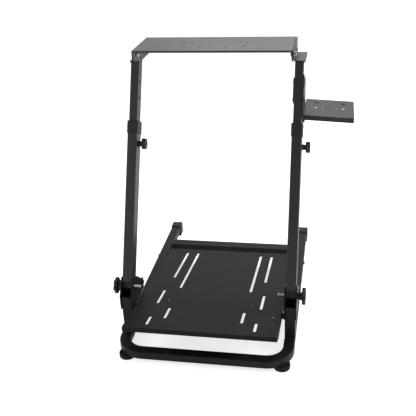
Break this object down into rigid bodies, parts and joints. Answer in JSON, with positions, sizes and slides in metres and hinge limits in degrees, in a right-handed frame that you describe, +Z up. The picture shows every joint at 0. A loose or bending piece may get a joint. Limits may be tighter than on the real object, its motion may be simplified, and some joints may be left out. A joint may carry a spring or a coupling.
{
  "type": "racing wheel stand",
  "caption": "Black steel folding stand for a racing wheel: U-shaped base, slotted pedal plate, leaning height-adjustable uprights, wheel plate and side shifter plate.",
  "frame": {"origin": "on the floor, at the middle of the overall width and depth; the middle plane of the stand lies 59.4 mm to the left of it", "axes": "+X across to the right as seen from the front bar, +Y from the front bar back towards the end caps and the driver, +Z up"},
  "size_m": [0.6928, 0.832, 0.829],
  "materials": {
    "frame_black": "satin",
    "plate_black": "satin",
    "cap_plastic": "matte",
    "knob_plastic": "matte",
    "foot_rubber": "matte",
    "bolt_steel": "zinc plated"
  },
  "bodies": {
    "base": {"front_tube": "frame_black", "left_rail": "frame_black", "right_rail": "frame_black", "left_rail_cap": "cap_plastic", "right_rail_cap": "cap_plastic", "rear_crossbar": "frame_black", "left_post": "frame_black", "right_post": "frame_black", "left_hinge_bracket": "frame_black", "right_hinge_bracket": "frame_black", "left_stop_bolt": "bolt_steel", "right_stop_bolt": "bolt_steel", "left_front_foot": "foot_rubber", "right_front_foot": "foot_rubber", "pedal_plate": "plate_black", "left_pedal_spacers": "cap_plastic", "right_pedal_spacers": "cap_plastic", "left_pedal_bolts": "bolt_steel", "right_pedal_bolts": "bolt_steel"},
    "uprights": {"left_pivot_block": "cap_plastic", "right_pivot_block": "cap_plastic", "left_lower_upright": "frame_black", "right_lower_upright": "frame_black", "left_collar": "cap_plastic", "right_collar": "cap_plastic"},
    "height_slide": {"left_upper_tube": "frame_black", "right_upper_tube": "frame_black", "left_top_bracket": "frame_black", "right_top_bracket": "frame_black", "shifter_arm": "frame_black", "shifter_clamp_plate": "frame_black", "shifter_arm_bolts": "bolt_steel", "shifter_plate": "plate_black", "shifter_plate_bolts": "bolt_steel"},
    "wheel_mount": {"wheel_plate": "plate_black", "left_tilt_bolts": "bolt_steel", "right_tilt_bolts": "bolt_steel"},
    "left_pivot_clamp": {"left_pivot_knob": "knob_plastic", "left_pivot_bolt": "bolt_steel"},
    "right_pivot_clamp": {"right_pivot_knob": "knob_plastic", "right_pivot_bolt": "bolt_steel"},
    "left_height_clamp": {"left_height_knob": "knob_plastic", "left_height_stud": "bolt_steel"},
    "right_height_clamp": {"right_height_knob": "knob_plastic", "right_height_stud": "bolt_steel"}
  },
  "joints": [
    {"name": "fold", "type": "hinge", "parent": "base", "child": "uprights", "pos_m": [-0.05938, -0.24146, 0.1635], "axis": [-1, 0, 0], "range_deg": [0, 57]},
    {"name": "height", "type": "slide", "parent": "uprights", "child": "height_slide", "axis": [0, 0.4384, 0.8988], "range_m": [0, 0.15]},
    {"name": "tilt", "type": "hinge", "parent": "height_slide", "child": "wheel_mount", "pos_m": [-0.05938, 0.00404, 0.80803], "axis": [1, 0, 0], "range_deg": [-10, 10]},
    {"name": "left_pivot_knob_turn", "type": "hinge", "parent": "base", "child": "left_pivot_clamp", "pos_m": [-0.32238, -0.24146, 0.1635], "axis": [1, 0, 0], "continuous": true},
    {"name": "left_height_knob_turn", "type": "hinge", "parent": "uprights", "child": "left_height_clamp", "pos_m": [-0.28888, -0.05252, 0.55088], "axis": [1, 0, 0], "continuous": true},
    {"name": "right_pivot_knob_turn", "type": "hinge", "parent": "base", "child": "right_pivot_clamp", "pos_m": [0.20362, -0.24146, 0.1635], "axis": [1, 0, 0], "continuous": true},
    {"name": "right_height_knob_turn", "type": "hinge", "parent": "uprights", "child": "right_height_clamp", "pos_m": [0.20012, -0.05252, 0.55088], "axis": [1, 0, 0], "continuous": true}
  ]
}
